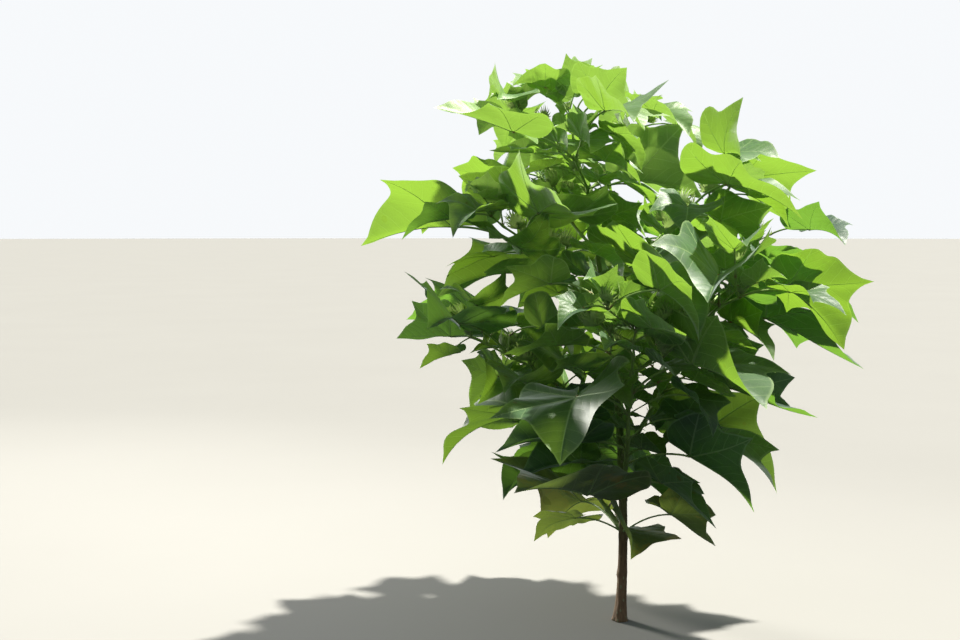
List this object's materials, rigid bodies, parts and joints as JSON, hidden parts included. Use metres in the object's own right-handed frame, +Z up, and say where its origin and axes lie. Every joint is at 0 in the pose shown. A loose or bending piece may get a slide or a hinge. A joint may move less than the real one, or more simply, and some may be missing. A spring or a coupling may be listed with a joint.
{
  "type": "cotton plant",
  "caption": "Young field cotton plant in bud: upright stem, zigzag fruiting branches, broad lobed drooping leaves and fringed flower buds.",
  "frame": {"origin": "centre of the flat cut under the main stem, at ground level", "axes": "+Z up along the plant's height; -Y faces the picture's camera and +X is to its right"},
  "size_m": [0.592, 0.6008, 0.6739],
  "materials": {
    "woody_stem": "matt tan bark at the foot, green and red-flushed above",
    "green_limb": "smooth green rind flushed dark red on the sunny side",
    "leaf_mature": "soft satin green blade with pale veins",
    "leaf_young": "bright yellow-green blade, finely hairy",
    "leaf_old": "dull olive blade with rusty blotches"
  },
  "bodies": {
    "root": {"main_stem": "woody_stem", "vegetative_bough_02": "green_limb", "vegetative_bough_03": "green_limb", "vegetative_bough_04": "green_limb", "fruiting_bough_05": "green_limb", "fruiting_bough_06": "green_limb", "fruiting_bough_07": "green_limb", "fruiting_bough_08": "green_limb", "fruiting_bough_09": "green_limb", "fruiting_bough_10": "green_limb", "fruiting_bough_11": "green_limb", "fruiting_bough_12": "green_limb", "fruiting_bough_13": "green_limb", "vegetative_foliage_02": "leaf_mature", "vegetative_foliage_03": "leaf_mature", "vegetative_foliage_04": "leaf_mature", "fruiting_foliage_05": "leaf_mature", "fruiting_foliage_06": "leaf_mature", "fruiting_foliage_07": "leaf_mature", "fruiting_foliage_08": "leaf_mature", "fruiting_foliage_09": "leaf_mature", "fruiting_foliage_10": "leaf_mature", "fruiting_foliage_11": "leaf_young", "fruiting_foliage_12": "leaf_young", "fruiting_foliage_13": "leaf_young", "stem_leaf_02": "leaf_old", "stem_leaf_03": "leaf_old", "stem_leaf_04": "leaf_mature", "stem_leaf_05": "leaf_mature", "stem_leaf_06": "leaf_mature", "stem_leaf_07": "leaf_mature", "stem_leaf_08": "leaf_mature", "stem_leaf_09": "leaf_mature", "stem_leaf_10": "leaf_mature", "stem_leaf_11": "leaf_mature", "stem_leaf_12": "leaf_young", "stem_leaf_13": "leaf_young", "shoot_tip": "leaf_young"}
  },
  "joints": []
}
